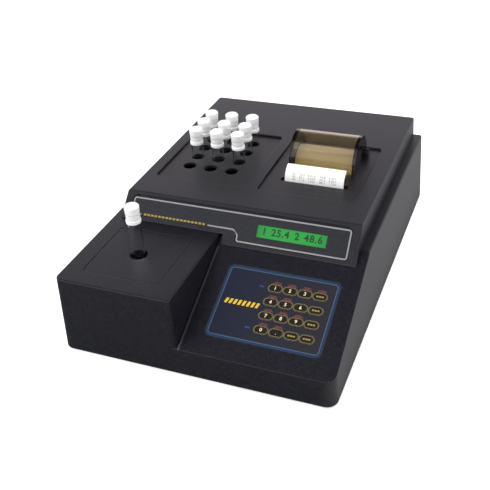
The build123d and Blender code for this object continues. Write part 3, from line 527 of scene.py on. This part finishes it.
FASCIA_SLOPE = math.radians(46.65)
FILM_THICKNESS = 0.5
FILM_TOP = 4.8
KEYPAD_HEIGHT = 72.4
KEY_STAND = 0.25
_, overlay_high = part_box("fascia_overlay")
fascia = Face(Vector((0, overlay_high.y, overlay_high.z)), FASCIA_SLOPE)
fascia.zero = fascia.at(0, FILM_TOP, 0) + Vector((0, -FILM_THICKNESS * MM * math.sin(FASCIA_SLOPE), 0))


def middle_of(name):
    low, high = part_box(name)
    return (low + high) / 2


up_deck = middle_of("key_01") - middle_of("key_13")
deck_slope = math.atan2(up_deck.z, up_deck.y)
deck = Face(Vector((0, middle_of("key_13").y, middle_of("key_13").z)), deck_slope)
film_edge = Vector((0, keypad_low.y + KEYPAD_HEIGHT * MM * math.cos(deck_slope), keypad_high.z))
deck.zero += deck.out * (film_edge - deck.zero).dot(deck.out)
print("deck slope:", round(math.degrees(deck_slope), 2), "degrees")

# %% [markdown]
# The display glows behind the film. The module is one solid, so how far a point lies below the film tells
# what it is: glass, then a black frame, then the board. The glass shines, strongest in the middle of the
# window. Light that leaves a surface is an emission colour.

# %% The display
GLASS_DEPTH = 0.53
GLASS_THICKNESS, FRAME_THICKNESS = 3.35, 5.0
GLOW_REACH = 34.0
lcd_low, lcd_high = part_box("lcd_module")
display_green = Finish("display green", {"Roughness": 0.35, "Emission Strength": 0.62})
lift = display_green.likeness(display_green.place, fascia.out) - fascia.zero.dot(fascia.out)
behind_front = lift < -(GLASS_DEPTH + 0.2) * MM
on_board = lift < -(GLASS_DEPTH + GLASS_THICKNESS + FRAME_THICKNESS - 0.1) * MM
reach = abs(display_green.axes()[0] - (lcd_low.x + lcd_high.x) / 2) / (GLOW_REACH * MM)
fade = reach.power(4) * 0.8
lit = display_green.over(fade, paint(30, 182, 62), paint(22, 140, 62))
glass = display_green.over(fade, paint(12, 70, 30), paint(10, 50, 26))
rear = display_green.over(on_board, paint(20, 20, 22), paint(26, 84, 50))
display_green.wear({
    "Base Color": display_green.over(behind_front, glass, rear),
    "Emission Color": display_green.over(behind_front, lit, (0.0, 0.0, 0.0, 1.0)),
})
dress(display_green, "lcd_module")
character_ink = ink("display character", paint(16, 66, 34), 0.3)
print_ink = ink("strip printing", paint(98, 98, 102), 0.6)
print("display:", display_green.material.name)

# %% [markdown]
# A print is drawn flat first. Most of it is strips and plates with round corners, so an outline is a list of
# corners whose turns become arcs, and a line is such an outline with a left and a right side.


# %% Outlines with round corners
def rounded(corners, radius, steps=5, closed=True):
    """An outline whose corners are arcs. An open one keeps its two ends."""
    outline = []
    for index, corner in enumerate(corners):
        here = Vector(corner)
        if not closed and index in (0, len(corners) - 1):
            outline.append(here)
            continue
        back = (Vector(corners[index - 1]) - here).normalized()
        ahead = (Vector(corners[(index + 1) % len(corners)]) - here).normalized()
        half = back.angle(ahead) / 2
        centre = here + (back + ahead).normalized() * radius / math.sin(half)
        start = here + back * radius / math.tan(half) - centre
        end = here + ahead * radius / math.tan(half) - centre
        for step in range(steps + 1):
            outline.append(centre + start.lerp(end, step / steps).normalized() * radius)
    return outline


def oblong(across, up, width, height, radius, steps=5):
    """A rectangle with round corners about a middle point."""
    x, y = width / 2, height / 2
    corners = [(across - x, up - y), (across + x, up - y), (across + x, up + y), (across - x, up + y)]
    return rounded(corners, radius, steps)


def beside(path, distance, closed):
    """A path moved sideways by an even distance."""
    moved = []
    last = len(path) - 1
    for index, point in enumerate(path):
        before = path[index - 1] if closed or index > 0 else point
        after = path[(index + 1) % len(path)] if closed or index < last else point
        ahead = (after - before).normalized()
        moved.append(point + Vector((-ahead.y, ahead.x)) * distance)
    return moved


# %% [markdown]
# A Piece turns the drawing into a thin closed solid. A band lies between two outlines, and a line and a ring
# are both bands. A plate fills one outline, and text comes from Blender's own font.


# %% Pieces of print
INK = 0.04
CAPITAL_SHARE = 0.7
SAME_POINT = 0.0005


class Piece:
    """Gathers thin solids and becomes one object."""

    def __init__(self, name):
        self.name = name
        self.points = []
        self.faces = []
        self.paints = []
        self.finishes = []

    def solid(self, points, faces, finish):
        if finish not in self.finishes:
            self.finishes.append(finish)
        start = len(self.points)
        self.points += [tuple(point) for point in points]
        self.faces += [tuple(start + corner for corner in face) for face in faces]
        self.paints += [self.finishes.index(finish)] * len(faces)

    def band(self, side, left, right, finish, lift=0.0, closed=True):
        points = []
        for one, other in zip(left, right):
            points += [side.at(*one, lift), side.at(*one, lift + INK)]
            points += [side.at(*other, lift + INK), side.at(*other, lift)]
        count = len(left)
        faces = []
        for index in range(count if closed else count - 1):
            here, there = 4 * index, 4 * ((index + 1) % count)
            for edge in range(4):
                turn = (edge + 1) % 4
                faces.append((here + edge, here + turn, there + turn, there + edge))
        if not closed:
            faces += [(0, 1, 2, 3), tuple(4 * count - 4 + corner for corner in (3, 2, 1, 0))]
        self.solid(points, faces, finish)

    def line(self, side, path, width, finish, closed=True):
        left = beside(path, width / 2, closed)
        right = beside(path, -width / 2, closed)
        self.band(side, left, right, finish, closed=closed)

    def plate(self, side, outline, finish, lift=0.0):
        count = len(outline)
        points = [side.at(*point, lift) for point in outline]
        points += [side.at(*point, lift + INK) for point in outline]
        faces = [tuple(reversed(range(count))), tuple(range(count, 2 * count))]
        for index in range(count):
            turn = (index + 1) % count
            faces.append((index, turn, count + turn, count + index))
        self.solid(points, faces, finish)

    def text(self, side, words, across, up, height, finish, lift=0.0, weight=0.0, spacing=1.0):
        letters = bpy.data.curves.new("letters", "FONT")
        letters.body = words
        letters.size = height / CAPITAL_SHARE
        letters.offset = weight
        letters.space_character = spacing
        letters.align_x = "CENTER"
        letters.align_y = "CENTER"
        letters.extrude = INK / 2
        letters.resolution_u = 3
        holder = bpy.data.objects.new("letters", letters)
        bpy.context.scene.collection.objects.link(holder)
        bpy.context.view_layer.update()
        settled = holder.evaluated_get(bpy.context.evaluated_depsgraph_get())
        mesh = bpy.data.meshes.new_from_object(settled)
        points = [side.at(across + v.co.x, up + v.co.y, lift + INK / 2 + v.co.z) for v in mesh.vertices]
        self.solid(points, [tuple(face.vertices) for face in mesh.polygons], finish)
        bpy.data.objects.remove(holder)
        bpy.data.meshes.remove(mesh)

    def done(self, body):
        mesh = bpy.data.meshes.new(self.name)
        mesh.from_pydata(self.points, [], self.faces)
        for finish in self.finishes:
            mesh.materials.append(finish.material)
        mesh.polygons.foreach_set("material_index", self.paints)
        shape = bmesh.new()
        shape.from_mesh(mesh)
        bmesh.ops.remove_doubles(shape, verts=shape.verts, dist=SAME_POINT * MM)
        bmesh.ops.recalc_face_normals(shape, faces=shape.faces)
        shape.to_mesh(mesh)
        shape.free()
        thing = bpy.data.objects.new(self.name, mesh)
        bpy.context.scene.collection.objects.link(thing)
        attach(thing, body)
        print(self.name, "faces:", len(mesh.polygons))


# %% [markdown]
# The front film has one silver line round it, which steps down on the right under the display. On the lower
# left the line opens, and a row of plain gold dashes fills the opening.

# %% Front film
TRIM_WIDTH = 1.3
TRIM_LOW = -21.8
TRIM_RADIUS = 1.9
DASH_FIRST, DASH_LAST, DASH_COUNT = -91.0, -31.0, 17
DASH_LONG, DASH_TALL = 2.7, 1.9
trim_corners = [
    (DASH_LAST + 4, TRIM_LOW), (-1.6, TRIM_LOW), (3.2, -26.4), (3.2, -31.9), (104.9, -31.9), (104.9, -6.2),
    (-105.0, -6.2), (-105.0, TRIM_LOW), (DASH_FIRST - 4, TRIM_LOW),
]
film_print = Piece("film_print")
trim = rounded(trim_corners, TRIM_RADIUS, closed=False)
film_print.line(fascia, trim, TRIM_WIDTH, silver_ink, closed=False)
for step in range(DASH_COUNT):
    across = DASH_FIRST + (DASH_LAST - DASH_FIRST) * step / (DASH_COUNT - 1)
    dash = oblong(across, TRIM_LOW + 0.4, DASH_LONG, DASH_TALL, 0.35, 3)
    film_print.plate(fascia, dash, gold_ink)
film_print.done("cover")

# %% [markdown]
# The display shows two readings. Any plain numbers do. They lie on the module's glass, a little below the
# film, so they get a negative lift.

# %% Display readings
DISPLAY_ACROSS = 53.0
DISPLAY_UP = -19.6
READING_TALL = 6.2
READINGS = ((-25.5, "1"), (-10.5, "25.4"), (5.0, "2"), (20.0, "48.6"))
readings = Piece("display_readings")
for across, words in READINGS:
    readings.text(
        fascia, words, DISPLAY_ACROSS + across, DISPLAY_UP + 0.4, READING_TALL, character_ink,
        lift=-GLASS_DEPTH, weight=0.26, spacing=1.12,
    )
readings.done("cover")

# %% [markdown]
# The keypad has a broad blue band and a fine light line inside it. Each key has a gold outline, part on the
# film round it and part on the key itself, so that a pressed key takes its own part along. Dull red bars
# stand over some keys, and a row of slanted yellow strokes fills the empty half of the pad.

# %% Keypad print
KEY_LONG, KEY_TALL = 11.9, 7.6
FIRST_ACROSS = middle_of("key_01").x / MM
PITCH_ACROSS = (middle_of("key_02").x - middle_of("key_01").x) / MM
PITCH_UP = (middle_of("key_01") - middle_of("key_05")).length / MM
RED_OVER = (4, 2, 3, 2)
RED_BARS = ((1.15, 8.2), (2.35, 6.2))
BAND_LONG, BAND_TALL, BAND_WIDTH = 99.6, 70.0, 2.2
FINE_LONG, FINE_TALL, FINE_WIDTH = 96.6, 67.0, 0.8
PAD_MIDDLE_UP, TOP_ROW_UP = 54.7, 74.2
LABEL_ACROSS = 40.8
pad_across = (keypad_low.x + keypad_high.x) / 2 / MM
pad_up = PAD_MIDDLE_UP - (TOP_ROW_UP - 3 * PITCH_UP)
OUTLINE_LONG, OUTLINE_TALL = PITCH_ACROSS - 0.1, KEY_TALL + 0.5
keypad_print = Piece("keypad_print")
keypad_print.line(deck, oblong(pad_across, pad_up, BAND_LONG, BAND_TALL, 4.2), BAND_WIDTH, blue_ink)
keypad_print.line(deck, oblong(pad_across, pad_up, FINE_LONG, FINE_TALL, 3.0), FINE_WIDTH, light_blue_ink)
for row in range(4):
    up = (3 - row) * PITCH_UP
    for column in range(4):
        across = FIRST_ACROSS + column * PITCH_ACROSS
        outer = oblong(across, up, OUTLINE_LONG, OUTLINE_TALL, OUTLINE_TALL / 2 - 0.01, 8)
        inner = oblong(across, up, KEY_LONG + 0.12, KEY_TALL + 0.12, KEY_TALL / 2 + 0.05, 8)
        keypad_print.band(deck, outer, inner, outline_ink)
        if column < RED_OVER[row]:
            for line_up, line_long in RED_BARS:
                bar = oblong(across + 0.6, up + KEY_TALL / 2 + line_up, line_long, 0.8, 0.25, 3)
                keypad_print.plate(deck, bar, red_ink)
for up in (3 * PITCH_UP, 0):
    keypad_print.plate(deck, oblong(LABEL_ACROSS, up, 4.2, 1.6, 0.4), label_ink)
STROKE_FIRST, STROKE_PITCH, STROKE_COUNT = 14.9, 4.0, 8
STROKE_FAR, STROKE_NEAR, STROKE_HALF_TALL = 1.9, 0.5, 2.5
for stroke in range(STROKE_COUNT):
    middle = STROKE_FIRST + STROKE_PITCH * stroke
    low, high = pad_up - STROKE_HALF_TALL, pad_up + STROKE_HALF_TALL
    corners = [
        (middle - STROKE_FAR, low), (middle + STROKE_NEAR, low),
        (middle + STROKE_FAR, high), (middle - STROKE_NEAR, high),
    ]
    keypad_print.plate(deck, rounded(corners, 0.4, 3), yellow_ink)
keypad_print.done("case")

# %% [markdown]
# The marks in the middle of the keys are plain numbers on the ten digit keys, a point beside the last of them
# and three short bars on the rest.

# %% Key marks
DIGIT_TALL = 3.2
BAR_PITCH = 2.3
digits = iter("1234567890.")
for index, name in enumerate(key_names):
    row, column = divmod(index, 4)
    across = middle_of(name).x / MM
    up = (3 - row) * PITCH_UP
    mark = Piece(name + "_print")
    outer = oblong(across, up, KEY_LONG - 0.5, KEY_TALL - 0.5, KEY_TALL / 2 - 0.26, 8)
    inner = oblong(across, up, KEY_LONG - 0.9, KEY_TALL - 1.4, KEY_TALL / 2 - 0.71, 8)
    mark.band(deck, outer, inner, outline_ink, lift=KEY_STAND)
    if column < 3 and not (row == 3 and column == 2):
        mark.text(deck, next(digits), across, up, DIGIT_TALL, cream_ink, lift=KEY_STAND, weight=0.1)
    else:
        for side in (-1, 0, 1):
            bar = oblong(across + BAR_PITCH * side, up, 1.9, 1.5, 0.4, 3)
            mark.plate(deck, bar, olive_ink, lift=KEY_STAND)
    mark.done(name + "_body")

# %% [markdown]
# The printed strip curls back as it leaves the slot. Its rows of numbers follow the curl: a Curl has the same
# at() as a flat Face, but its upward direction runs round an arc.


# %% Printed strip
class Curl:
    """The outer side of the curled strip: across it, and up along its arc."""

    def __init__(self, front_y, start_z, radius):
        self.middle_y = front_y / MM + radius
        self.start_z = start_z / MM
        self.radius = radius

    def at(self, across, up, lift):
        turn = up / self.radius
        out = self.radius + lift
        y = self.middle_y - out * math.cos(turn)
        return Vector((across, y, self.start_z + out * math.sin(turn))) * MM


strip_low, strip_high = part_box("paper_strip")
tray_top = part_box("incubator_tray")[1].z
CURL_TURN = math.radians(82.0)
curl_radius = (strip_high.z - tray_top) / MM / math.sin(CURL_TURN)
curl = Curl(strip_low.y, tray_top, curl_radius)
STRIP_ROWS = (
    "01   12.5   0.214    36.8   0.427",
    "02   50.1   0.639    64.3   0.852",
    "03   71.9   1.066    88.2   1.274",
)
TOP_LINE_UP, LINE_PITCH, LINE_TALL = 7.6, 2.6, 1.8
strip_across = (strip_low.x + strip_high.x) / 2 / MM
strip_print = Piece("strip_print")
for row, words in enumerate(STRIP_ROWS):
    up = TOP_LINE_UP - LINE_PITCH * row
    strip_print.text(
        curl, words, strip_across, up, LINE_TALL, print_ink,
        lift=0.01, spacing=1.25,
    )
strip_print.done("cover")
print("curl radius:", round(curl_radius, 2), "mm")

# %% [markdown]
# The rocker switch at the back carries the usual line and circle, so that its two ends can be told apart. Its
# two halves lean, so their places and directions are read from the solid: flat_sides gathers the faces that
# look the same way.


# %% Rocker marks
def flat_sides(name, facing):
    """The flat sides of a solid that face one way, the largest first: area, middle and direction."""
    groups = {}
    for polygon in nodes[name].data.polygons:
        if polygon.normal.dot(facing) > 0.8:
            direction = tuple(round(part, 2) for part in polygon.normal)
            groups.setdefault(direction, []).append(polygon)
    sides = []
    for group in groups.values():
        area = sum(polygon.area for polygon in group)
        middle = sum((polygon.center * polygon.area for polygon in group), Vector()) / area
        sides.append((area, middle, group[0].normal.copy()))
    return sorted(sides, key=lambda side: side[0], reverse=True)


MARK_WIDE, MARK_LONG = 0.9, 3.6
CIRCLE_OUTSIDE, CIRCLE_INSIDE = 3.8, 2.4
white_ink = ink("white ink", paint(225, 225, 222))
halves = sorted(flat_sides("power_switch", Vector((0, 1, 0)))[:2], key=lambda side: side[1].z)
lower, upper = [Face(middle, math.atan2(-out.y, out.z), -1) for _, middle, out in halves]
circle_outside = oblong(0, 0, CIRCLE_OUTSIDE, CIRCLE_OUTSIDE, 1.89, 6)
circle_inside = oblong(0, 0, CIRCLE_INSIDE, CIRCLE_INSIDE, 1.19, 6)
rocker_marks = Piece("rocker_marks")
rocker_marks.plate(upper, oblong(0, 0, MARK_WIDE, MARK_LONG, 0.4), white_ink)
rocker_marks.band(lower, circle_outside, circle_inside, white_ink)
rocker_marks.done("rocker")

# %% [markdown]
# The room. The world is white to the camera and to glass, and gives the rest a plain level of light. What
# gloss sees is set apart from that: the top of the case mirrors the bright wall behind it, the deck mirrors
# the dim ceiling, and the cover's slope mirrors a soft box over the photographer's left shoulder. A Room is a
# Finish for the world, so its light is written as sums too.


# %% Room and light
class Room(Finish):
    """The light all round, built from values as a finish is."""

    def __init__(self, name):
        world = bpy.data.worlds.new(name)
        world.use_nodes = True
        bpy.context.scene.world = world
        self.start(world.node_tree, "Background", "Generated")


AMBIENT = 0.74
HORIZON_GLOSS = 1.32
CEILING_GLOSS = 0.09
WALL_ENDS, CEILING_STARTS = 0.40, 0.56
SOFTBOX_TOWARDS = (-0.33, -0.60, 0.73)
SOFTBOX_EDGE, SOFTBOX_FULL = 0.84, 0.97
SOFTBOX_GLOSS = 0.72
GLOSS_TINT = (1.0, 0.94, 0.985, 1.0)
room = Room("studio")
height = room.axes()[2]
towards_box = room.likeness(room.place, SOFTBOX_TOWARDS)
ceiling = room.ramp(height, WALL_ENDS, CEILING_STARTS, HORIZON_GLOSS, CEILING_GLOSS)
softbox = room.ramp(towards_box, SOFTBOX_EDGE, SOFTBOX_FULL, 0.0, SOFTBOX_GLOSS)
to_camera, to_glass, to_gloss = room.rays("Camera", "Transmission", "Glossy")
plain = AMBIENT + (ceiling + softbox - AMBIENT) * to_gloss
room.wear({
    "Color": room.over(to_gloss, (1.0, 1.0, 1.0, 1.0), GLOSS_TINT),
    "Strength": plain + (1 - plain) * (to_camera + to_glass),
})


def lamp(name, place, aim, size, watts):
    light = bpy.data.lights.new(name, "AREA")
    light.size = size
    light.energy = watts
    holder = bpy.data.objects.new(name, light)
    holder.location = place
    holder.rotation_euler = (Vector(aim) - Vector(place)).to_track_quat("-Z", "Y").to_euler()
    holder.visible_glossy = False
    bpy.context.scene.collection.objects.link(holder)


lamp("key lamp", place=(-0.75, -0.75, 1.35), aim=(0, 0, 0.05), size=1.2, watts=20)
lamp("side lamp", place=(0.52, 0.22, 0.40), aim=(0.16, 0.02, 0.0), size=0.25, watts=1.5)
print("lamps:", len(bpy.data.lights))

# %% [markdown]
# The floor is a flat disc, so wide that its edge is out of the picture. It keeps the soft shadow of the
# case: part of its white is lit by the room and the lamps, and part is its own light. In the gloss of the
# front wall it is dark, and in the gloss of the right wall it is bright.

# %% Floor
FLOOR_RADII = (0.5, 2.0, 6.0)
SPOKES = 48
OWN_LIGHT = 0.5
RIGHT_STARTS, RIGHT_FULL = 0.11, 0.14
FLOOR_PLAIN, FLOOR_IN_GLOSS = (0.82, 0.82, 0.82, 1.0), (0.14, 0.14, 0.14, 1.0)
floor_points = []
for radius in FLOOR_RADII:
    for spoke in range(SPOKES):
        turn = 2 * math.pi * spoke / SPOKES
        floor_points.append((radius * math.cos(turn), radius * math.sin(turn), 0.0))
floor_faces = [tuple(range(SPOKES))]
for ring in range(len(FLOOR_RADII) - 1):
    for spoke in range(SPOKES):
        turn = (spoke + 1) % SPOKES
        start = ring * SPOKES
        floor_faces.append((start + spoke, start + SPOKES + spoke, start + SPOKES + turn, start + turn))
floor_mesh = bpy.data.meshes.new("floor")
floor_mesh.from_pydata(floor_points, [], floor_faces)
floor = bpy.data.objects.new("floor", floor_mesh)
bpy.context.scene.collection.objects.link(floor)
floor_white = Finish("floor white", {"Roughness": 1.0, "Specular IOR Level": 0.0})
to_camera, to_glass, to_gloss = floor_white.rays("Camera", "Transmission", "Glossy")
on_right = floor_white.ramp(floor_white.axes()[0], RIGHT_STARTS, RIGHT_FULL)
floor_white.wear({
    "Base Color": floor_white.over(to_gloss, FLOOR_PLAIN, FLOOR_IN_GLOSS),
    "Emission Color": (1.0, 1.0, 1.0, 1.0),
    "Emission Strength": OWN_LIGHT * to_camera + OWN_LIGHT * to_glass + OWN_LIGHT * to_gloss * on_right,
})
floor_mesh.materials.append(floor_white.material)
print("floor faces:", len(floor_mesh.polygons))

# %% [markdown]
# The camera stands where the photographer stood: to the right of the front, looking down at the case. Its
# place, turn and lens come from a fit of points and lines on the case's edges.

# %% Camera
CAMERA_PLACE = (0.24369, -0.61048, 0.46027)
CAMERA_TURNS = (56.2505, 3.1020, 21.1730)
eye = bpy.data.cameras.new("camera")
eye.sensor_width = 36.0
eye.lens = 57.72
eye.shift_x = -0.0015
eye.shift_y = -0.0006
eye.clip_end = 50.0
camera = bpy.data.objects.new("camera", eye)
camera.location = CAMERA_PLACE
camera.rotation_euler = Euler([math.radians(turn) for turn in CAMERA_TURNS], "XYZ")
bpy.context.scene.collection.objects.link(camera)
bpy.context.scene.camera = camera
bpy.context.scene.view_settings.view_transform = "Standard"
print("camera lens:", eye.lens, "mm")
